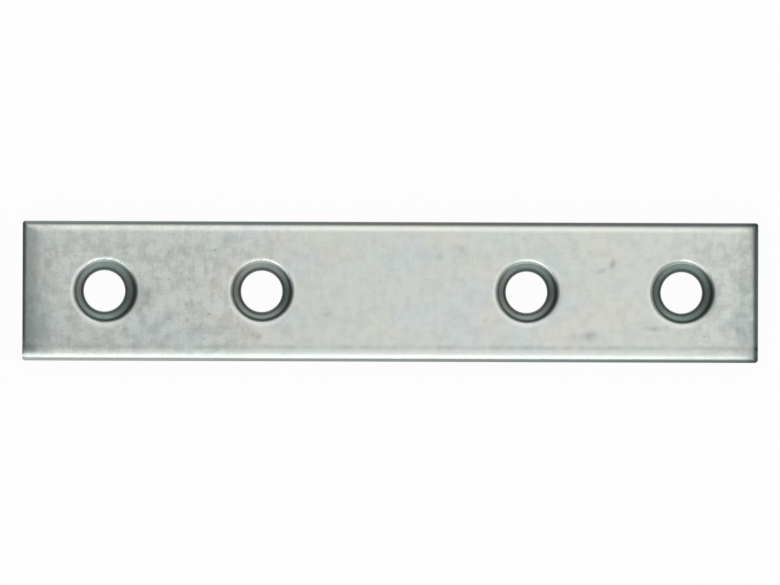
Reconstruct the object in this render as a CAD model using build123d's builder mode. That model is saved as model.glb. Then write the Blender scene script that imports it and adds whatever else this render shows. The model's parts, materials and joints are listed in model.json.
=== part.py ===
from build123d import *
import os
from math import radians, tan

# Flat mending plate in zinc-plated steel, in millimetres.
# The plate lies on its back. X runs along it, Y runs across it, and Z leaves the countersunk face.
# The origin is the middle of the back face.

os.makedirs("parts", exist_ok=True)

# The blank: a length cropped from slit strip
length = 100.0
width = 19.0
thickness = 2.0
corner_radius = 0.4
worn_corner_radius = 0.7  # the lower right corner is rounder than the others
back_edge_radius = 0.15

# Slitting draws the face down in a long soft curve beside both long edges
long_roll_width = 1.9
long_roll_depth = 0.4

# Cropping draws the left end down the same way, and leaves a short broken edge at the right end
left_roll_width = 2.2
left_roll_depth = 0.45
right_roll_width = 0.9
right_roll_depth = 0.5

# Punched screw holes: two pairs, with the whole row a little to the right of the plate's middle
end_margin = 10.8
pair_pitch = 21.2
row_shift = 0.56
hole_diameter = 5.6

# Pressed countersinks for 90 degree screw heads
sink_diameter = 8.3
sink_angle = 90.0
sink_shoulder_radius = 1.1
# how far each countersink sits to the right of its own hole, from the left end to the right
sink_drifts = (0.25, 0.05, 0.05, 0.18)

# Places on the blank
half_length = length / 2
half_width = width / 2
outer_reach = half_length - end_margin
inner_reach = outer_reach - pair_pitch
sink_places = [row_shift + reach for reach in (-outer_reach, -inner_reach, inner_reach, outer_reach)]
hole_places = [place - drift for place, drift in zip(sink_places, sink_drifts)]

# A countersink's cone, from its mouth at the face down to its point
sink_radius = sink_diameter / 2
sink_depth = sink_radius / tan(radians(sink_angle / 2))


with BuildPart() as plate:
    # outline of the blank, seen on its face
    with BuildSketch(Plane.XY) as outline:
        Rectangle(length, width)
        left_corners = outline.vertices().group_by(Axis.X)[0]
        fillet(left_corners, corner_radius)
        upper_right, lower_right = outline.vertices().group_by(Axis.X)[-1].sort_by(Axis.Y, reverse=True)
        fillet(upper_right, corner_radius)
        fillet(lower_right, worn_corner_radius)
    extrude(amount=thickness)

    # section across the strip, run past both ends: the right half, mirrored.
    # Each rolled edge is a quarter of an ellipse, level at the face and upright at the edge.
    with BuildSketch(Plane.YZ.offset(-length)):
        with BuildLine():
            back = Line((0, 0), (half_width - back_edge_radius, 0))
            back_edge = TangentArc(back @ 1, (half_width, back_edge_radius), tangent=back % 1)
            Line(back_edge @ 1, (half_width, thickness - long_roll_depth))
            roll = EllipticalCenterArc(
                (half_width - long_roll_width, thickness - long_roll_depth),
                long_roll_width,
                long_roll_depth,
            )
            Line(roll @ 1, (0, thickness))
            mirror(about=Plane.YZ)
        make_face()
    extrude(amount=2 * length, mode=Mode.INTERSECT)

    # section along the plate, run past both sides: round the outline from the back,
    # with a different edge at each end
    with BuildSketch(Plane.XZ.offset(-width)):
        with BuildLine():
            back = Line((back_edge_radius - half_length, 0), (half_length - back_edge_radius, 0))
            right_back = TangentArc(back @ 1, (half_length, back_edge_radius), tangent=back % 1)
            Line(right_back @ 1, (half_length, thickness - right_roll_depth))
            right_roll = EllipticalCenterArc(
                (half_length - right_roll_width, thickness - right_roll_depth),
                right_roll_width,
                right_roll_depth,
            )
            left_roll = EllipticalCenterArc(
                (left_roll_width - half_length, thickness - left_roll_depth),
                left_roll_width,
                left_roll_depth,
                start_angle=90,
            )
            Line(right_roll @ 1, left_roll @ 0)
            left_side = Line(left_roll @ 1, (-half_length, back_edge_radius))
            TangentArc(left_side @ 1, back @ 0, tangent=left_side % 1)
        make_face()
    extrude(amount=2 * width, mode=Mode.INTERSECT)

    # countersinks, each a cone standing on its point
    with Locations(*[(place, 0, thickness - sink_depth) for place in sink_places]):
        Cone(
            bottom_radius=0,
            top_radius=sink_radius,
            height=sink_depth,
            align=(Align.CENTER, Align.CENTER, Align.MIN),
            mode=Mode.SUBTRACT,
        )

    # soft shoulders where the countersinks meet the face
    mouths = plate.edges().filter_by(GeomType.CIRCLE).group_by(Axis.Z)[-1]
    fillet(mouths, sink_shoulder_radius)

    # screw holes, right through
    with Locations(*[(place, 0, thickness) for place in hole_places]):
        Hole(hole_diameter / 2)

plate.part.label = "plate"
export_step(plate.part, "parts/plate.step")
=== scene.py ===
import json
import math
import bpy
import bmesh
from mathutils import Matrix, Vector


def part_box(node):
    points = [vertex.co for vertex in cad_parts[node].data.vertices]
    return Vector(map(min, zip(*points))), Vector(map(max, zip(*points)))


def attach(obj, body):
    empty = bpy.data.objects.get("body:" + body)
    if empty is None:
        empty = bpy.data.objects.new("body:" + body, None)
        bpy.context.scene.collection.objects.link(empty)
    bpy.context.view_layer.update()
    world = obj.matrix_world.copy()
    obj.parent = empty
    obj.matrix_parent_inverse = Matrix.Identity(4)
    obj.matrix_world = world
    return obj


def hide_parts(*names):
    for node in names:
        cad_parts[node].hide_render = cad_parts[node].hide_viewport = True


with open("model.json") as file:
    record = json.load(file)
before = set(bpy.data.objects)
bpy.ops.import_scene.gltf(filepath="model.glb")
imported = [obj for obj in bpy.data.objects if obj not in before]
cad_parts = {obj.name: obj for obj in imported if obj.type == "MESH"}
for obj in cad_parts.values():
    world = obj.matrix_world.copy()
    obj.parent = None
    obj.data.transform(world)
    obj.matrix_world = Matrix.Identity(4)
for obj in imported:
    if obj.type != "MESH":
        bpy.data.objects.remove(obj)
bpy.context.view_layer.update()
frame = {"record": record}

# the plate is worked out in millimetres and made in metres
mm = 0.001

plateLow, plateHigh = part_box("plate")
halfLength = (plateHigh.x - plateLow.x) / 2 / mm
halfWidth = (plateHigh.y - plateLow.y) / 2 / mm
thickness = (plateHigh.z - plateLow.z) / mm
screwHoles = [m for m in frame["record"]["mounts"] if m["kind"] == "bore"]
screwHoles.sort(key=lambda m: m["pos_m"][0])
print("frame loaded: plate", 2 * halfLength, "x", 2 * halfWidth, "x", thickness, "mm")


# the plate: strip with rolled edges, punched holes and pressed countersinks

plateShape = {
    # each rolled edge: width, gentle slope in degrees, how early that slope comes, and how late
    # the edge turns down
    "upperRoll": (1.9, 14.0, 1.0, 12),
    "lowerRoll": (1.9, 14.0, 1.6, 12),
    "leftRoll": (2.25, 5.0, 0.35, 12),
    "rightRoll": (0.9, 22.0, 1.0, 5),
    "rollEndSlope": 80,
    "leftRollFade": (1.9, 0.97),  # it dies away towards the lower edge: over what width, how far
    "rollBlend": 4,  # how sharply two rolled edges meet at a corner
    "rollSteps": 22,
    "rollCrowding": 1.7,  # how much closer together the steps are at the outline
    "profileSteps": 400,  # the curve of a roll is worked out in this many steps
    "cornerRadius": 0.4,
    "wornCornerRadius": 0.45,  # the lower right corner
    "sharpAngle": 35,  # degrees between two faces from which their edge is sharp
    "backEdgeRadius": 0.15,
    "backEdgeSteps": 4,
    "wallSteps": 5,
    "sinkDiameters": (8.4, 8.2, 8.25, 8.35),  # pressed a little unevenly, from left to right
    "sinkSlope": 45,  # degrees between the countersink and the face
    "sinkDrifts": (0.15, 0.05, 0.08, 0.12),  # each countersink sits this far right of its hole
    "darkSideWidths": (1.4, 0.65, 1.2, 1.55),  # how much wider its painted dark ring is on one side
    "shoulderReach": 0.65,  # where the soft shoulder leaves the face, outside the countersink
    # where the shoulder is narrowest: direction in degrees, share lost, how narrow that part is
    "crispSide": (-45, 0.45, 1.5),
    "shoulderEase": 0.33,  # share of its final slope that grows evenly, the rest comes at the end
    "shoulderPower": 7,
    "shoulderSteps": 24,
    "coneSteps": 8,
    "rimRound": 0.3,  # soft edge between a countersink and its hole
    "rimSteps": 6,
    "meshStep": 0.25,
    "patchHalf": 6.0,  # half the side of the square of mesh round each hole
    "patchMargin": 0.2,  # first ring of mesh outside a shoulder
    "patchSteps": 6,
}

sinkTangent = math.tan(math.radians(plateShape["sinkSlope"]))


def shoulderProfile(inner, outer):  # (distance from the axis, drop) from the face inwards
    steps = plateShape["shoulderSteps"]
    drop, profile = 0.0, [(outer, 0.0)]
    for step in range(1, steps + 1):
        share = (step - 0.5) / steps
        ease = plateShape["shoulderEase"]
        share = ease * share + (1 - ease) * share ** plateShape["shoulderPower"]
        drop += math.tan(math.radians(plateShape["sinkSlope"]) * share) * (outer - inner) / steps
        profile.append((outer - (outer - inner) * step / steps, drop))
    return profile


def fitShoulder(sinkRadius):  # ends the shoulder where it runs on into the countersink's cone
    inner = sinkRadius
    outer = sinkRadius + plateShape["shoulderReach"]
    tries, damping = 20, 0.7
    for attempt in range(tries):
        radius, drop = shoulderProfile(inner, outer)[-1]
        inner += ((sinkRadius - radius) * sinkTangent - drop) * damping
    return shoulderProfile(inner, outer)


def shoulderWidth(angle):  # the shoulder is crisper on one side
    side, share, power = plateShape["crispSide"]
    return 1 - share * (0.5 + 0.5 * math.cos(angle - math.radians(side))) ** power


def planSinks():  # each countersink with its hole, from left to right
    sinks = []
    plans = zip(
        screwHoles, plateShape["sinkDiameters"], plateShape["sinkDrifts"], plateShape["darkSideWidths"]
    )
    for hole, diameter, drift, darkWidth in plans:
        holePlace = hole["pos_m"][0] / mm
        sinks.append({
            "hole": holePlace,
            "holeRadius": hole["dims"]["r_mm"],
            "place": holePlace + drift,
            "radius": diameter / 2,
            "shoulder": fitShoulder(diameter / 2),
            "darkSideWidth": darkWidth,
        })
    return sinks


sinks = planSinks()


def bell(distance, spread):  # 1 in the middle, falling away on both sides
    return math.exp(-(distance / spread) ** 2)


def rollProfile(name):  # (reach from the edge, drop) from the face to the outline
    width, gentle, early, late = plateShape[name]
    steps = plateShape["profileSteps"]
    drop, profile = 0.0, [(width, 0.0)]
    for step in range(1, steps + 1):
        middle = (step - 0.5) / steps
        slope = gentle * middle ** early + (plateShape["rollEndSlope"] - gentle) * middle ** late
        drop += math.tan(math.radians(slope)) * width / steps
        profile.append((width * (1 - step / steps), drop))
    return profile


rolls = {name: rollProfile(name) for name in ("upperRoll", "lowerRoll", "leftRoll", "rightRoll")}
print("roll depths:", {name: round(profile[-1][1], 3) for name, profile in rolls.items()})


def rollDrop(name, reach):  # how far a rolled edge lies below the face
    profile = rolls[name]
    width, steps = profile[0][0], len(profile) - 1
    place = min(max(1 - reach / width, 0.0), 1.0) * steps
    index = min(int(place), steps - 1)
    low, high = profile[index][1], profile[index + 1][1]
    return low + (high - low) * (place - index)


def faceDrop(x, y):  # drop of the four rolls together
    fadeWidth, fadeShare = plateShape["leftRollFade"]
    fade = 1 - fadeShare * math.exp(-(((halfWidth + y) / fadeWidth) ** 4))
    drops = (
        rollDrop("upperRoll", halfWidth - y),
        rollDrop("lowerRoll", halfWidth + y),
        rollDrop("leftRoll", halfLength + x) * fade,
        rollDrop("rightRoll", halfLength - x),
    )
    power = plateShape["rollBlend"]
    return sum(drop ** power for drop in drops) ** (1 / power)


def rollReaches(name):  # reaches from the outline inwards, closer together where the edge turns down
    width = plateShape[name][0]
    steps = plateShape["rollSteps"]
    return [width * (step / steps) ** plateShape["rollCrowding"] for step in range(steps + 1)]


def evenSteps(start, end):  # positions from start, without end
    count = max(1, round((end - start) / plateShape["meshStep"]))
    return [start + (end - start) * step / count for step in range(count)]


def roundCorner(x, y):  # pulls the square corners of the grid onto arcs
    radius = plateShape["wornCornerRadius" if x > 0 > y else "cornerRadius"]
    u = (abs(x) - halfLength + radius) / radius
    v = (abs(y) - halfWidth + radius) / radius
    if u <= 0 or v <= 0:
        return x, y
    roundU = u * math.sqrt(1 - v * v / 2)
    roundV = v * math.sqrt(1 - u * u / 2)
    newX = halfLength - radius + radius * roundU
    newY = halfWidth - radius + radius * roundV
    return math.copysign(newX, x), math.copysign(newY, y)


def gridLines():  # lines across and along the face, and where each hole's square lies
    half = plateShape["patchHalf"]
    leftReaches = rollReaches("leftRoll")
    rightReaches = rollReaches("rightRoll")
    lowerReaches = rollReaches("lowerRoll")
    upperReaches = rollReaches("upperRoll")
    xLines = [reach - halfLength for reach in leftReaches[:-1]]
    squares = []
    start = leftReaches[-1] - halfLength
    for place in [sink["place"] for sink in sinks]:
        xLines += evenSteps(start, place - half)
        first = len(xLines)
        xLines += evenSteps(place - half, place + half)
        squares.append((first, len(xLines)))
        start = place + half
    xLines += evenSteps(start, halfLength - rightReaches[-1])
    xLines += [halfLength - reach for reach in reversed(rightReaches)]
    yLines = [reach - halfWidth for reach in lowerReaches[:-1]]
    yLines += evenSteps(lowerReaches[-1] - halfWidth, -half)
    low = len(yLines)
    yLines += evenSteps(-half, half)
    high = len(yLines)
    yLines += evenSteps(half, halfWidth - upperReaches[-1])
    yLines += [halfWidth - reach for reach in reversed(upperReaches)]
    return xLines, yLines, squares, (low, high)


def loopOfCells(left, right, low, high):  # grid corners round a block of cells, anticlockwise
    loop = [(i, low) for i in range(left, right)]
    loop += [(right, j) for j in range(low, high)]
    loop += [(i, high) for i in range(right, left, -1)]
    loop += [(left, j) for j in range(high, low, -1)]
    return loop


def joinRings(mesh, upper, lower, material):
    count = len(upper)
    for k in range(count):
        after = (k + 1) % count
        face = mesh.faces.new((upper[k], upper[after], lower[after], lower[k]))
        face.material_index = material


def bezier(first, middle, last, share):
    return first * (1 - share) ** 2 + middle * 2 * share * (1 - share) + last * share ** 2


faceMaterial, shearedMaterial, sinkMaterial = range(3)


def addHole(mesh, border, sink):
    # from the square of the grid down through the countersink to the back face
    sinkPlace, holePlace, holeRadius = sink["place"], sink["hole"], sink["holeRadius"]
    angles = [math.atan2(v.co.y, v.co.x - sinkPlace) for v in border]

    def ring(centre, radius, height):
        points = []
        for angle in angles:
            x = centre + radius * math.cos(angle)
            y = radius * math.sin(angle)
            z = height(math.hypot(x - sinkPlace, y))
            points.append(mesh.verts.new((x, y, z)))
        return points

    def onSink(radius):  # height of the cone at a distance from its axis
        return thickness - (sink["radius"] - radius) * sinkTangent

    last = border
    outer = sink["shoulder"][0][0] + plateShape["patchMargin"]
    steps = plateShape["patchSteps"]
    for step in range(1, steps):
        share = step / steps
        points = []
        for vertex, angle in zip(border, angles):
            x = sinkPlace + outer * math.cos(angle)
            y = outer * math.sin(angle)
            inward = Vector((x, y, thickness))
            points.append(mesh.verts.new(vertex.co.lerp(inward, share)))
        joinRings(mesh, last, points, faceMaterial)
        last = points

    widths = [shoulderWidth(angle) for angle in angles]
    shoulderInner = sink["shoulder"][-1][0]
    for radius, drop in [(outer, 0.0)] + sink["shoulder"]:
        points = []
        for angle, width in zip(angles, widths):
            reach = radius if radius == outer else shoulderInner + (radius - shoulderInner) * width
            x = sinkPlace + reach * math.cos(angle)
            points.append(mesh.verts.new((x, reach * math.sin(angle), thickness - drop)))
        joinRings(mesh, last, points, faceMaterial)
        last = points

    rimRadius = holeRadius + plateShape["rimRound"]
    rimFall = plateShape["rimRound"] / math.cos(math.radians(plateShape["sinkSlope"]))
    for step in range(1, plateShape["coneSteps"] + 1):
        share = step / plateShape["coneSteps"]
        centre = sinkPlace + (holePlace - sinkPlace) * share
        radius = shoulderInner + (rimRadius - shoulderInner) * share
        points = ring(centre, radius, onSink)
        joinRings(mesh, last, points, sinkMaterial)
        last = points

    wall = ring(holePlace, holeRadius, lambda radius: onSink(radius) - rimFall)
    corner = ring(holePlace, holeRadius, onSink)
    cone = last
    for step in range(1, plateShape["rimSteps"]):
        share = step / plateShape["rimSteps"]
        points = [
            mesh.verts.new(bezier(a.co, b.co, c.co, share)) for a, b, c in zip(cone, corner, wall)
        ]
        joinRings(mesh, last, points, sinkMaterial)
        last = points
    for vertex in corner:
        mesh.verts.remove(vertex)
    joinRings(mesh, last, wall, sinkMaterial)
    back = ring(holePlace, holeRadius, lambda radius: 0.0)
    joinRings(mesh, wall, back, shearedMaterial)
    return back


def addOuterWall(mesh, top):
    # down from the rolled edges, round the back edge
    count = len(top)
    outward = []
    for k in range(count):
        along = top[(k + 1) % count].co - top[k - 1].co
        outward.append(Vector((along.y, -along.x, 0)).normalized())
    radius = plateShape["backEdgeRadius"]
    last = top
    for step in range(1, plateShape["wallSteps"] + 1):
        share = step / plateShape["wallSteps"]
        points = []
        for vertex in top:
            height = vertex.co.z + (radius - vertex.co.z) * share
            points.append(mesh.verts.new((vertex.co.x, vertex.co.y, height)))
        joinRings(mesh, last, points, shearedMaterial)
        last = points
    for step in range(1, plateShape["backEdgeSteps"] + 1):
        turn = math.radians(90) * step / plateShape["backEdgeSteps"]
        points = []
        for vertex, way in zip(top, outward):
            place = vertex.co - way * radius * (1 - math.cos(turn))
            points.append(mesh.verts.new((place.x, place.y, radius * (1 - math.sin(turn)))))
        joinRings(mesh, last, points, shearedMaterial)
        last = points
    return last


def loopEdges(mesh, loop):
    return [mesh.edges.get((loop[k - 1], loop[k])) for k in range(len(loop))]


def makePlate():
    xLines, yLines, squares, (low, high) = gridLines()
    mesh = bmesh.new()

    def hidden(i, j):  # strictly inside a hole's square
        return low < j < high and any(left < i < right for left, right in squares)

    grid = {}
    for i, lineX in enumerate(xLines):
        for j, lineY in enumerate(yLines):
            if not hidden(i, j):
                x, y = roundCorner(lineX, lineY)
                grid[i, j] = mesh.verts.new((x, y, thickness - faceDrop(lineX, lineY)))
    for i in range(len(xLines) - 1):
        inSquare = any(left <= i < right for left, right in squares)
        for j in range(len(yLines) - 1):
            if not (inSquare and low <= j < high):
                mesh.faces.new((grid[i, j], grid[i + 1, j], grid[i + 1, j + 1], grid[i, j + 1]))

    backLoops = []
    for (left, right), sink in zip(squares, sinks):
        border = [grid[key] for key in loopOfCells(left, right, low, high)]
        backLoops.append(addHole(mesh, border, sink))
    outline = [grid[key] for key in loopOfCells(0, len(xLines) - 1, 0, len(yLines) - 1)]
    backLoops.append(addOuterWall(mesh, outline))

    edges = [edge for loop in backLoops for edge in loopEdges(mesh, loop)]
    filled = bmesh.ops.triangle_fill(mesh, use_beauty=True, use_dissolve=False, edges=edges)
    for face in filled["geom"]:
        if isinstance(face, bmesh.types.BMFace):
            face.material_index = faceMaterial

    bmesh.ops.recalc_face_normals(mesh, faces=mesh.faces)
    for face in mesh.faces:
        face.smooth = True
    for edge in mesh.edges:
        if edge.calc_face_angle(0) > math.radians(plateShape["sharpAngle"]):
            edge.smooth = False
    for edge in edges:  # keeps the back face flat
        edge.smooth = False
    bmesh.ops.scale(mesh, vec=(mm, mm, mm), verts=mesh.verts)
    data = bpy.data.meshes.new("mendingPlate")
    mesh.to_mesh(data)
    mesh.free()
    piece = bpy.data.objects.new("mendingPlate", data)
    bpy.context.scene.collection.objects.link(piece)
    return piece


plate = makePlate()


# masks kept on the mesh: painted shade, painted highlights, smudges and the calmer rolled edges

maskPlan = {
    # painted shade along the outline, edge by edge: how far in it reaches at the left or lower end and
    # at the other end, in millimetres, how strong it is at those ends, and how late it gets stronger
    "topEdge": (0.5, 0.64, 0.56, 0.83, 0.35),
    "bottomEdge": (0.22, 0.4, 0.56, 0.92, 1.4),
    "leftEdge": (0.42, 0.56, 0.93, 0.93, 1),
    "leftGap": (0.9, 1.2, 0.8),  # the bright band crosses the left edge's painted shade: place, half width, share lost
    "rightEdge": (0.62, 0.88, 0.9, 0.9, 1),
    "rightCorners": (1.4, 0.65),  # painted shade at the right corners: how far from the corner, how strong it is
    "leftEndShade": (1.85, 0.07, 0.29),  # painted shade along the left end: width, strength above and below
    "brightBand": 1.15,  # beside the lower edge, kept free of smudges and of the painted shade at the left end
    "calmReach": 1.7,  # the rolled edges are smoother than the face
    # painted shade as dark rings in a countersink: how far from its mouth or its hole, half width,
    # strength
    "outerRing": (0.195, 0.25, 0.955),  # full strength on its dark side
    "innerRing": (0.27, 0.215, 0.97),
    "paintedHighlight": (0.37, 0.19),  # painted highlight as a brighter rim on the shoulder: how far outside its mouth, half width
    "highlightSide": (-45, 0.8),  # where that rim is brightest, and the share lost on the other side
    "innerFade": 0.12,  # share of the inner ring lost towards the long edges
    "brightSide": (88, 0.8),  # where the outer ring fades: direction in degrees, share lost
    "darkSide": -8,  # where it is widest
    "duskSides": ((-10, 0.62), (180, 0.6)),  # painted shade on the darker sides of the cone: direction, strength
    "creaseShade": (1.95, 0.28),  # painted shade of a faint crease beside the lower rolled edge: place and half width
}

marksAndPaintedShade = (
    # smudges, and painted shade at the left end: x, y, half length, half width, turn in degrees,
    # strength
    (-32.9, -0.6, 1.1, 0.45, 80, 0.8),
    (-33.7, -0.4, 1.1, 1.9, 0, 0.5),
    (-33.8, -2.2, 0.7, 0.35, 60, 0.6),
    (-28.8, 0.4, 0.6, 0.4, 30, 0.5),
    (-30.4, -3.6, 0.8, 0.4, -40, 0.4),
    (-46.4, 3.7, 0.6, 0.5, 0, 0.6),
    (-43.1, -3.8, 0.9, 0.5, 20, 0.4),
    # painted shade: the next two darken the left end, whose rolled edge turns away from the light
    (-48.5, -1.5, 2.1, 11.0, 0, 0.72),
    (-48.6, -5.4, 2.0, 4.8, 0, 0.6),
    # the next two are darker towards the lower left
    (-44.5, -6.6, 3.2, 2.4, 0, 0.22),
    (-36.0, -6.2, 15.0, 2.8, 0, 0.22),
    (-17.8, -6.2, 0.35, 0.4, 0, 0.7),
    (-8.7, -3.2, 0.7, 0.4, 10, 0.4),
    (6.7, 4.7, 0.6, 0.4, 20, 0.4),
    (9.9, 5.6, 0.9, 0.4, -30, 0.4),
    (30.2, 3.9, 0.55, 0.3, 85, 0.8),
    (28.7, 2.9, 0.6, 0.3, 10, 0.4),
    (26.7, -6.0, 1.4, 0.5, 10, 0.6),
    (35.7, -4.9, 1.3, 0.3, 0, 0.6),
    # the last two are darker along the right end
    (48.0, 0.6, 2.6, 0.8, 85, 0.5),
    (47.9, -5.6, 3.2, 1.2, 90, 0.6),
)


def plateau(distance, width, power):  # 1 near the edge, then falling away
    return math.exp(-((max(distance, 0.0) / width) ** power))


def clearOfBand(y):  # 0 on the bright band beside the lower edge, 1 above it
    return 1 - plateau(halfWidth + y, maskPlan["brightBand"], 4)


def edgeShade(x, y):  # painted shade along the outline of the face
    along = 0.5 + x / halfLength / 2
    up = 0.5 + y / halfWidth / 2
    edges = {
        "topEdge": (halfWidth - y, along),
        "bottomEdge": (halfWidth + y, along),
        "leftEdge": (halfLength + x, up),
        "rightEdge": (halfLength - x, up),
    }
    shade = 0.0
    for name, (reach, share) in edges.items():
        first, last, pale, dark, growth = maskPlan[name]
        width = first + (last - first) * share
        strength = pale + (dark - pale) * max(share, 0.0) ** growth
        if name == "leftEdge":
            gapPlace, gapWidth, gapShare = maskPlan["leftGap"]
            strength *= 1 - gapShare * bell(halfWidth + y - gapPlace, gapWidth)
        shade = max(shade, strength * plateau(reach, width, 3))
    width, strength = maskPlan["rightCorners"]
    corner = strength * bell(math.hypot(halfLength - x, halfWidth - abs(y)), width)
    shade = 1 - (1 - shade) * (1 - corner)
    width, above, below = maskPlan["leftEndShade"]
    endShade = (above * up + below * (1 - up)) * clearOfBand(y)
    endShade *= plateau(halfLength + x, width, 4)
    return max(shade, endShade)


def facing(angle, side):  # 1 where a direction matches a side given in degrees, 0 behind it
    return max(math.cos(angle - math.radians(side)), 0.0)


def sinkShade(x, y, sink):  # painted shade: the dark rings in a countersink
    away = math.hypot(x - sink["place"], y)
    angle = math.atan2(y, x - sink["place"])
    side, share = maskPlan["brightSide"]
    fade = 1 - share * facing(angle, side) ** 3
    inset, spread, strength = maskPlan["outerRing"]
    darkSide = facing(angle, maskPlan["darkSide"])
    spread *= 1 + sink["darkSideWidth"] * darkSide ** 3
    strength += (1 - strength) * darkSide
    outer = strength * fade * bell(away - sink["radius"] + inset, spread)
    inset, spread, strength = maskPlan["innerRing"]
    rim = max(math.hypot(x - sink["hole"], y) - sink["holeRadius"] - inset, 0.0)
    inner = strength * bell(rim, spread) * (1 - maskPlan["innerFade"] * math.sin(angle) ** 2)
    dusk = sum(strength * facing(angle, side) ** 2 for side, strength in maskPlan["duskSides"])
    dusk *= bell(max(away - sink["radius"] + inset, 0.0), spread)
    return max(outer, inner, dusk)


def sinkShine(x, y, sink):  # painted highlight: the bright rim on a countersink's shoulder
    place, spread = maskPlan["paintedHighlight"]
    side, share = maskPlan["highlightSide"]
    away = math.atan2(y, x - sink["place"]) - math.radians(side)
    strength = 1 - share * (0.5 - 0.5 * math.cos(away))
    return strength * bell(math.hypot(x - sink["place"], y) - sink["radius"] - place, spread)


# smudges, and painted shade at the left end
def smudgeAndShade(x, y):
    total = 0.0
    for markX, markY, halfLong, halfWide, turn, strength in marksAndPaintedShade:
        if abs(x - markX) < 3 * halfLong + 3 * halfWide:
            c, s = math.cos(math.radians(turn)), math.sin(math.radians(turn))
            along = (x - markX) * c + (y - markY) * s
            across = (y - markY) * c - (x - markX) * s
            total += strength * bell(math.hypot(along / halfLong, across / halfWide), 1)
    return min(total, 1.0)


def addMasks(data):
    names = ("edgeShade", "sinkShade", "paintedHighlight", "smudgeAndShade", "creaseShade", "calm")
    for name in names:
        data.attributes.new(name, "FLOAT", "POINT")
    masks = {name: data.attributes[name].data for name in names}
    creasePlace, creaseWidth = maskPlan["creaseShade"]
    for index, vertex in enumerate(data.vertices):
        x, y, z = vertex.co / mm
        if z < plateShape["backEdgeRadius"] / 2:  # the back carries no marks
            continue
        sink = min(sinks, key=lambda sink: abs(sink["place"] - x))
        masks["sinkShade"][index].value = sinkShade(x, y, sink)
        masks["paintedHighlight"][index].value = sinkShine(x, y, sink)
        if z > thickness / 2:
            masks["edgeShade"][index].value = edgeShade(x, y)
            masks["smudgeAndShade"][index].value = smudgeAndShade(x, y) * clearOfBand(y)
            masks["calm"][index].value = bell(halfWidth - abs(y), maskPlan["calmReach"])
            masks["creaseShade"][index].value = bell(halfWidth + y - creasePlace, creaseWidth)


addMasks(plate.data)
print("plate made:", len(plate.data.polygons), "faces")


# finishes

def newMaterial(name):
    material = bpy.data.materials.new(name)
    material.use_nodes = True
    material.node_tree.nodes.clear()
    return material, material.node_tree


def addNode(tree, kind, x, y, **settings):
    node = tree.nodes.new(kind)
    node.location = (x, y)
    for name, value in settings.items():
        setattr(node, name, value)
    return node


def mathNode(tree, operation, x, y, *values):  # a value is a number or another node's output
    node = addNode(tree, "ShaderNodeMath", x, y, operation=operation)
    for socket, value in zip(node.inputs, values):
        connect(tree, value, socket)
    return node.outputs[0]


def connect(tree, value, socket):
    if isinstance(value, bpy.types.NodeSocket):
        tree.links.new(value, socket)
    else:
        socket.default_value = value


def rangeNode(tree, x, y, value, fromLow, fromHigh, toLow, toHigh):
    node = addNode(tree, "ShaderNodeMapRange", x, y, interpolation_type="SMOOTHSTEP")
    for name, given in (
        ("Value", value),
        ("From Min", fromLow),
        ("From Max", fromHigh),
        ("To Min", toLow),
        ("To Max", toHigh),
    ):
        connect(tree, given, node.inputs[name])
    return node.outputs["Result"]


def newGroup(name, inputs, outputs):
    tree = bpy.data.node_groups.new(name, "ShaderNodeTree")
    for label, kind, value in inputs:
        socket = tree.interface.new_socket(label, in_out="INPUT", socket_type=kind)
        if value is not None:
            socket.default_value = value
    for label, kind in outputs:
        tree.interface.new_socket(label, in_out="OUTPUT", socket_type=kind)
    start = addNode(tree, "NodeGroupInput", -1400, 0)
    end = addNode(tree, "NodeGroupOutput", 600, 0)
    return tree, start.outputs, end.inputs


def useGroup(tree, group, x, y, **values):
    node = addNode(tree, "ShaderNodeGroup", x, y, node_tree=group)
    for label, value in values.items():
        connect(tree, value, node.inputs[label])
    return node.outputs


zincLook = {
    "colour": (0.752, 0.802, 0.752, 1),
    "warmPatch": (0.79, 0.795, 0.745, 1),  # the clear film over the zinc is faintly uneven in hue
    "coolPatch": (0.74, 0.79, 0.785, 1),
    "sinkColour": (0.545, 0.652, 0.61, 1),  # duller plating in the countersinks
    "darkColour": (0.033, 0.046, 0.042, 1),  # painted shade of outlines and rims; also the dull spots and torn crumbs
    "highlightColour": (0.95, 0.985, 0.96, 1),  # painted highlight
    "paintedHighlight": 0.95,
    # smudges, and painted shade at the left end
    "smudgeAndShadeColour": (0.42, 0.455, 0.445, 1),
    "smudgeAndShadePatches": (0.6, 0.7),  # how much of the smudges and painted shade follows the mottle, and the even share
    "burnishColour": (0.5, 0.53, 0.51, 1),  # upper part of a sheared side
    "fractureColour": (0.33, 0.35, 0.34, 1),  # lower part
    "burnishHeight": 1.07,  # where the two parts meet at the highest, in millimetres above the back
    "burnishBlend": 0.08,  # millimetres on each side of that height
    "burnishWander": 0.25,  # how far the meeting line dips below it
    "roughness": 0.23,
    "mottleRoughness": 0.04,  # added where the plating is dull
    "smudgeAndShadeRoughness": 0.12,
    "darkRoughness": 0.1,
    "shearRoughness": 0.42,
    "mottle": 0.14,  # how much darker the dull spots are
    "grain": 0.04,
    "specks": 0.14,
    "ripple": 0.05,
    # how uneven the face is along the plate: from and to in millimetres, before and after
    "leftUneven": (-28.0, -8.0, 1.5, 0.5),
    "rightUneven": (36.0, 48.0, 0.0, 0.8),
    "sinkUneven": 0.6,
    "calm": 0.8,  # share of that lost on the rolled edges
    "creaseShade": 0.3,
    "mottleHeight": 0.0016,  # millimetres
    "grainHeight": 0.0005,
    "shearHeight": 0.02,
}

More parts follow.
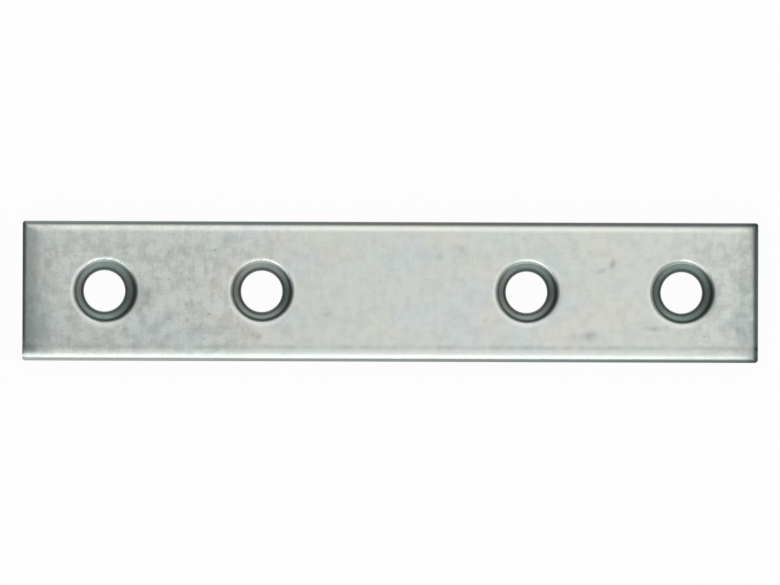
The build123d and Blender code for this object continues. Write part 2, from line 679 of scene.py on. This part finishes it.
# soft blotches: size in millimetres, where they begin and are full in the noise, detail
zincSpots = {
    "warm": (9.0, 0.45, 0.7, 1.0),
    "cool": (7.0, 0.5, 0.7, 1.0),
    "dull": (1.3, 0.35, 0.72, 3.0),
    "grain": (0.3, 0.3, 0.7, 2.0),
    "specks": (0.9, 0.68, 0.76, 1.0),
    "lines": (0.35, 0.4, 0.75, 2.0),
    "ripples": (0.5, 0.4, 0.75, 2.0),
    "creaseBreaks": (1.6, 0.1, 0.9, 2.0),
    "shearStreaks": (0.14, 0.3, 0.7, 2.0),
    "shearCrumbs": (0.12, 0.3, 0.7, 3.0),
    "burnishWander": (1.2, 0.2, 0.8, 2.0),
}

floatSocket, colourSocket, vectorSocket = "NodeSocketFloat", "NodeSocketColor", "NodeSocketVector"


def makeSpotGroup():  # soft blotches of a chosen size, as a mask from 0 to 1
    tree, given, result = newGroup(
        "softSpots",
        [
            ("Place", vectorSocket, None),
            ("Size", floatSocket, 1.0),
            ("Detail", floatSocket, 2.0),
            ("Low", floatSocket, 0.35),
            ("High", floatSocket, 0.65),
        ],
        [("Mask", floatSocket)],
    )
    scale = mathNode(tree, "DIVIDE", -1100, -200, 1.0, given["Size"])
    spots = addNode(tree, "ShaderNodeTexNoise", -800, 0)
    tree.links.new(given["Place"], spots.inputs["Vector"])
    tree.links.new(scale, spots.inputs["Scale"])
    tree.links.new(given["Detail"], spots.inputs["Detail"])
    mask = rangeNode(tree, -400, 0, spots.outputs["Fac"], given["Low"], given["High"], 0.0, 1.0)
    tree.links.new(mask, result["Mask"])
    return tree


softSpots = makeSpotGroup()


def platePlace(tree, x, y, stretch=(1, 1, 1)):  # the object's own coordinates, in millimetres
    place = addNode(tree, "ShaderNodeTexCoord", x, y)
    scaled = addNode(tree, "ShaderNodeVectorMath", x + 200, y, operation="MULTIPLY")
    scaled.inputs[1].default_value = [part / mm for part in stretch]
    tree.links.new(place.outputs["Object"], scaled.inputs[0])
    return scaled.outputs["Vector"]


def spots(tree, x, y, place, name):
    size, low, high, detail = zincSpots[name]
    values = {"Place": place, "Size": size, "Low": low, "High": high, "Detail": detail}
    return useGroup(tree, softSpots, x, y, **values)["Mask"]


def readMask(tree, name, x, y):
    return addNode(tree, "ShaderNodeAttribute", x, y, attribute_name=name).outputs["Fac"]


def mixColour(tree, x, y, share, first, second, blend="MIX"):
    node = addNode(tree, "ShaderNodeMix", x, y, data_type="RGBA", blend_type=blend)
    sockets = [socket for socket in node.inputs if socket.type == "RGBA"]
    connect(tree, share, node.inputs[0])
    connect(tree, first, sockets[0])
    connect(tree, second, sockets[1])
    return next(socket for socket in node.outputs if socket.type == "RGBA")


def makePlatingGroup():  # the zinc itself: uneven hue, dull spots, grain and specks, with smudges, painted shade and painted highlights mixed in
    tree, given, result = newGroup(
        "zincPlating",
        [
            ("Colour", colourSocket, (1, 1, 1, 1)),
            ("Unevenness", floatSocket, 1.0),
            ("Dark", floatSocket, 0.0),
            ("Smudge", floatSocket, 0.0),
            ("Shine", floatSocket, 0.0),
        ],
        [("Colour", colourSocket), ("Roughness", floatSocket), ("Height", floatSocket)],
    )
    place = platePlace(tree, -2600, 0)
    shifted = platePlace(tree, -2600, -400, (1, 1.3, 1))
    long = platePlace(tree, -2600, -800, (0.06, 1, 1))
    upright = platePlace(tree, -2600, -1200, (1, 0.12, 1))

    warm = spots(tree, -2000, 400, place, "warm")
    cool = spots(tree, -2000, 200, shifted, "cool")
    dull = spots(tree, -2000, 0, place, "dull")
    grain = spots(tree, -2000, -200, shifted, "grain")
    specks = spots(tree, -2000, -400, shifted, "specks")
    lines = spots(tree, -2000, -600, long, "lines")
    ripples = spots(tree, -2000, -800, upright, "ripples")

    colour = mixColour(tree, -1500, 500, warm, given["Colour"], zincLook["warmPatch"])
    colour = mixColour(tree, -1300, 500, cool, colour, zincLook["coolPatch"])
    dullness = mathNode(tree, "MULTIPLY", -1500, 0, dull, zincLook["mottle"])
    dullness = mathNode(tree, "MULTIPLY_ADD", -1300, 0, grain, zincLook["grain"], dullness)
    dullness = mathNode(tree, "MULTIPLY_ADD", -1100, 0, specks, zincLook["specks"], dullness)
    dullness = mathNode(tree, "MULTIPLY_ADD", -900, 0, lines, zincLook["ripple"] / 2, dullness)
    dullness = mathNode(tree, "MULTIPLY_ADD", -700, 0, ripples, zincLook["ripple"], dullness)
    dullness = mathNode(tree, "MULTIPLY", -500, 0, dullness, given["Unevenness"])
    patchy = mathNode(tree, "MULTIPLY_ADD", -900, 250, dull, *zincLook["smudgeAndShadePatches"])
    smudgedAndShaded = mathNode(tree, "MULTIPLY", -700, 250, patchy, given["Smudge"])
    colour = mixColour(tree, -300, 500, dullness, colour, zincLook["darkColour"])
    colour = mixColour(tree, -200, 500, smudgedAndShaded, colour, zincLook["smudgeAndShadeColour"])
    # painted highlights on the shoulders, then painted shade of outlines, countersink rings and crease
    colour = mixColour(tree, -50, 500, given["Shine"], colour, zincLook["highlightColour"])
    colour = mixColour(tree, 100, 500, given["Dark"], colour, zincLook["darkColour"])
    tree.links.new(colour, result["Colour"])

    dull = mathNode(tree, "MULTIPLY", -700, -300, dull, given["Unevenness"])
    grain = mathNode(tree, "MULTIPLY", -700, -600, grain, given["Unevenness"])
    rough = zincLook["roughness"]
    for column, (mask, added) in enumerate((
        (dull, "mottleRoughness"),
        (smudgedAndShaded, "smudgeAndShadeRoughness"),
        (given["Dark"], "darkRoughness"),
    )):
        x = 200 * column - 500
        rough = mathNode(tree, "MULTIPLY_ADD", x, -300, mask, zincLook[added], rough)
    tree.links.new(rough, result["Roughness"])

    height = mathNode(tree, "MULTIPLY", -500, -600, dull, -zincLook["mottleHeight"] * mm)
    height = mathNode(tree, "MULTIPLY_ADD", -300, -600, grain, zincLook["grainHeight"] * mm, height)
    tree.links.new(height, result["Height"])
    return tree


zincPlating = makePlatingGroup()


def finishSurface(tree, colour, rough, height, x=0):  # a metal surface with its bump
    bump = addNode(tree, "ShaderNodeBump", x, -300)
    bump.inputs["Strength"].default_value = 1
    bump.inputs["Distance"].default_value = 1
    tree.links.new(height, bump.inputs["Height"])
    surface = addNode(tree, "ShaderNodeBsdfPrincipled", x + 250, 0)
    surface.inputs["Metallic"].default_value = 1
    tree.links.new(colour, surface.inputs["Base Color"])
    tree.links.new(rough, surface.inputs["Roughness"])
    tree.links.new(bump.outputs["Normal"], surface.inputs["Normal"])
    output = addNode(tree, "ShaderNodeOutputMaterial", x + 550, 0)
    tree.links.new(surface.outputs["BSDF"], output.inputs["Surface"])


def makeFaceMaterial():
    material, tree = newMaterial("zincFace")
    edge = readMask(tree, "edgeShade", -1400, 500)
    sink = readMask(tree, "sinkShade", -1400, 300)
    markAndShade = readMask(tree, "smudgeAndShade", -1400, 100)
    creaseShade = readMask(tree, "creaseShade", -1400, -100)
    paintedHighlight = readMask(tree, "paintedHighlight", -1400, 200)
    paintedHighlight = mathNode(tree, "MULTIPLY", -1200, 200, paintedHighlight, zincLook["paintedHighlight"])
    place = platePlace(tree, -1800, -300)
    along = addNode(tree, "ShaderNodeSeparateXYZ", -1400, -300)
    tree.links.new(place, along.inputs[0])
    leftPart = rangeNode(tree, -1200, -300, along.outputs["X"], *zincLook["leftUneven"])
    rightPart = rangeNode(tree, -1200, -500, along.outputs["X"], *zincLook["rightUneven"])
    uneven = mathNode(tree, "ADD", -1000, -300, leftPart, rightPart)
    calm = readMask(tree, "calm", -1200, -1000)
    calm = mathNode(tree, "MULTIPLY_ADD", -1000, -500, calm, -zincLook["calm"], 1.0)
    uneven = mathNode(tree, "MULTIPLY", -800, -300, uneven, calm)
    dark = mathNode(tree, "MAXIMUM", -1000, 500, edge, sink)
    # painted shade of the crease, broken up along its length
    broken = spots(tree, -1200, -700, place, "creaseBreaks")
    line = mathNode(tree, "MULTIPLY", -1000, -100, creaseShade, broken)
    dark = mathNode(tree, "MULTIPLY_ADD", -800, 300, line, zincLook["creaseShade"], dark)
    plating = useGroup(
        tree,
        zincPlating,
        -500,
        100,
        Colour=zincLook["colour"],
        Unevenness=uneven,
        Dark=dark,
        Smudge=markAndShade,
        Shine=paintedHighlight,
    )
    finishSurface(tree, plating["Colour"], plating["Roughness"], plating["Height"])
    return material


def makeSinkMaterial():
    material, tree = newMaterial("zincCountersink")
    sink = readMask(tree, "sinkShade", -900, 300)
    plating = useGroup(
        tree,
        zincPlating,
        -500,
        100,
        Colour=zincLook["sinkColour"],
        Unevenness=zincLook["sinkUneven"],
        Dark=sink,
    )
    finishSurface(tree, plating["Colour"], plating["Roughness"], plating["Height"])
    return material


def makeShearedMaterial():
    material, tree = newMaterial("zincShearedEdge")
    place = platePlace(tree, -1800, 0)
    upright = platePlace(tree, -1800, -400, (1, 1, 0.05))
    parts = addNode(tree, "ShaderNodeSeparateXYZ", -1400, 0)
    tree.links.new(place, parts.inputs[0])
    streaks = spots(tree, -1400, -400, upright, "shearStreaks")
    crumbs = spots(tree, -1400, -600, place, "shearCrumbs")
    wander = spots(tree, -1400, -800, upright, "burnishWander")
    wandering = zincLook["burnishWander"]
    level = mathNode(tree, "MULTIPLY_ADD", -1200, 0, wander, wandering, parts.outputs["Z"])
    middle, blend = zincLook["burnishHeight"], zincLook["burnishBlend"]
    burnished = rangeNode(tree, -1000, 0, level, middle - blend, middle + blend, 0.0, 1.0)
    rubbed = mixColour(tree, -800, 300, streaks, zincLook["burnishColour"], zincLook["fractureColour"])
    torn = mixColour(tree, -800, 100, crumbs, zincLook["fractureColour"], zincLook["darkColour"])
    colour = mixColour(tree, -500, 200, burnished, torn, rubbed)
    roughRange = zincLook["shearRoughness"], zincLook["roughness"]
    rough = rangeNode(tree, -500, -100, burnished, 0.0, 1.0, *roughRange)
    relief = addNode(tree, "ShaderNodeMix", -800, -400)
    for socket, value in zip(relief.inputs, (burnished, crumbs, streaks)):
        tree.links.new(value, socket)
    height = mathNode(tree, "MULTIPLY", -500, -400, relief.outputs[0], zincLook["shearHeight"] * mm)
    finishSurface(tree, colour, rough, height)
    return material


for material in (makeFaceMaterial(), makeShearedMaterial(), makeSinkMaterial()):
    plate.data.materials.append(material)

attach(plate, "root")
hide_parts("plate")
print("finishes made")


# floor, light and camera

floorLook = {
    "halfSize": 1.5,  # metres
    "gap": 0.00002,  # metres under the plate, so that floor and back don't share a plane
    "colour": (0.92, 0.92, 0.92, 1),
    "whiteShare": 0.955,  # how much of what the camera and the metal see is plain white
}


def makeFloor():
    half = floorLook["halfSize"]
    corners = [(-half, -half, 0), (half, -half, 0), (half, half, 0), (-half, half, 0)]
    data = bpy.data.meshes.new("floor")
    data.from_pydata(corners, [], [(0, 1, 2, 3)])
    floor = bpy.data.objects.new("floor", data)
    floor.location.z = plateLow.z - floorLook["gap"]
    bpy.context.scene.collection.objects.link(floor)
    material, tree = newMaterial("paleFloor")
    rays = addNode(tree, "ShaderNodeLightPath", -700, 300)
    seen = rays.outputs["Is Camera Ray"]
    for column, ray in enumerate(("Is Glossy Ray", "Is Transmission Ray")):
        seen = mathNode(tree, "MAXIMUM", 200 * column - 500, 300, seen, rays.outputs[ray])
    share = mathNode(tree, "MULTIPLY", -100, 300, seen, floorLook["whiteShare"])
    matt = addNode(tree, "ShaderNodeBsdfDiffuse", -100, 100)
    matt.inputs["Color"].default_value = floorLook["colour"]
    white = addNode(tree, "ShaderNodeEmission", -100, -100)
    mixed = addNode(tree, "ShaderNodeMixShader", 150, 100)
    output = addNode(tree, "ShaderNodeOutputMaterial", 350, 100)
    tree.links.new(share, mixed.inputs["Fac"])
    tree.links.new(matt.outputs["BSDF"], mixed.inputs[1])
    tree.links.new(white.outputs["Emission"], mixed.inputs[2])
    tree.links.new(mixed.outputs["Shader"], output.inputs["Surface"])
    data.materials.append(material)


makeFloor()

studioLamps = {  # middle and size in metres; glow is what a mirror would show, 1 for white
    "frontLamp": {"place": (-0.085, -0.153, 0.478), "size": (0.33, 0.125), "glow": 1.5,
                  "colour": (0.97, 1.0, 1.03)},
    "backLamp": {"place": (0.02, 0.153, 0.478), "size": (0.3, 0.125), "glow": 1.0,
                 "colour": (1.02, 1.0, 0.98)},
}

room = {  # brightness by direction, where straight up is the middle of the overhead light
    "alongColour": (1.0, 1.0, 0.985, 1),  # beyond the ends of the plate, and overhead
    "acrossColour": (0.91, 1.0, 1.02, 1),  # in front and behind
    "band": 0.85,  # half way up, seen from the sides
    "bandHeights": (0.08, 0.24, 0.62, 0.74),  # grows, full, full, gone
    "low": 0.336,  # from a little beside the overhead light to half way down
    "horizon": 0.68,
    "overhead": 0.64,  # added by the overhead light
    "overheadX": (-0.09, -0.01, 0.24, 0.4),  # grows, full, full, gone
    "overheadY": (-0.19, -0.1, 0.08, 0.16),
    "slopeX": 0.25,  # brighter to the right
    "slopeY": -0.15,  # and to the front
    "leastHeight": 0.05,  # keeps the overhead light's edges steady near the horizon
}


def makeLamps():
    for name, plan in studioLamps.items():
        lamp = bpy.data.lights.new(name, "AREA")
        lamp.shape = "RECTANGLE"
        lamp.size, lamp.size_y = plan["size"]
        lamp.energy = plan["glow"] * math.pi * lamp.size * lamp.size_y
        lamp.color = plan["colour"]
        holder = bpy.data.objects.new(name, lamp)
        holder.location = plan["place"]
        aim = Vector((0, -plan["place"][1], -plan["place"][2]))  # at the line along the plate
        holder.rotation_euler = aim.to_track_quat("-Z", "Y").to_euler()
        holder.visible_camera = False
        bpy.context.scene.collection.objects.link(holder)


def makeRoom():
    world = bpy.data.worlds.new("studio")
    world.use_nodes = True
    tree = world.node_tree
    tree.nodes.clear()
    direction = addNode(tree, "ShaderNodeTexCoord", -1800, 0)
    parts = addNode(tree, "ShaderNodeSeparateXYZ", -1600, 0)
    tree.links.new(direction.outputs["Generated"], parts.inputs[0])
    x, y, z = parts.outputs
    grow, full, fade, gone = room["bandHeights"]
    walls = rangeNode(tree, -1200, 300, z, grow, full, room["horizon"], room["band"])
    walls = rangeNode(tree, -1000, 300, z, fade, gone, walls, room["low"])
    tiltX = mathNode(tree, "MULTIPLY_ADD", -1200, 600, x, room["slopeX"], 1.0)
    tiltY = mathNode(tree, "MULTIPLY_ADD", -1000, 600, y, room["slopeY"], tiltX)
    walls = mathNode(tree, "MULTIPLY", -800, 400, walls, tiltY)
    up = mathNode(tree, "MAXIMUM", -1400, -200, z, room["leastHeight"])
    glow = room["overhead"]
    for row, (axis, plan) in enumerate(((x, room["overheadX"]), (y, room["overheadY"]))):
        lean = mathNode(tree, "DIVIDE", -1200, -200 - 300 * row, axis, up)
        rise = rangeNode(tree, -1000, -200 - 300 * row, lean, plan[0], plan[1], 0.0, 1.0)
        fall = rangeNode(tree, -1000, -350 - 300 * row, lean, plan[2], plan[3], 1.0, 0.0)
        window = mathNode(tree, "MULTIPLY", -800, -200 - 300 * row, rise, fall)
        glow = mathNode(tree, "MULTIPLY", -600, -200 - 300 * row, window, glow)
    above = mathNode(tree, "GREATER_THAN", -800, 0, z, 0.0)
    glow = mathNode(tree, "MULTIPLY", -400, -100, glow, above)
    total = mathNode(tree, "ADD", -200, 100, walls, glow)
    across = mathNode(tree, "MULTIPLY", -400, 300, y, y)
    tint = mixColour(tree, -200, 300, across, room["alongColour"], room["acrossColour"])
    background = addNode(tree, "ShaderNodeBackground", 0, 0)
    tree.links.new(tint, background.inputs["Color"])
    tree.links.new(total, background.inputs["Strength"])
    output = addNode(tree, "ShaderNodeOutputWorld", 200, 0)
    tree.links.new(background.outputs["Background"], output.inputs["Surface"])
    bpy.context.scene.world = world


makeLamps()
makeRoom()

cameraPlan = {
    "lens": 500,  # a long lens from far above, so that nothing leans
    "plateShare": 0.9436,  # of the picture's width
    "turn": 0.205,  # degrees
    "offCentre": (-0.042, -0.091),  # millimetres from the plate's middle
}


def makeCamera():
    data = bpy.data.cameras.new("camera")
    data.lens = cameraPlan["lens"]
    camera = bpy.data.objects.new("camera", data)
    across = 2 * halfLength * mm / cameraPlan["plateShare"]
    distance = across * data.lens / data.sensor_width
    x, y = cameraPlan["offCentre"]
    camera.location = (x * mm, y * mm, thickness * mm + distance)
    camera.rotation_euler = (0, 0, math.radians(cameraPlan["turn"]))
    bpy.context.scene.collection.objects.link(camera)
    bpy.context.scene.camera = camera


makeCamera()
bpy.context.scene.view_settings.view_transform = "Standard"
print("studio made")
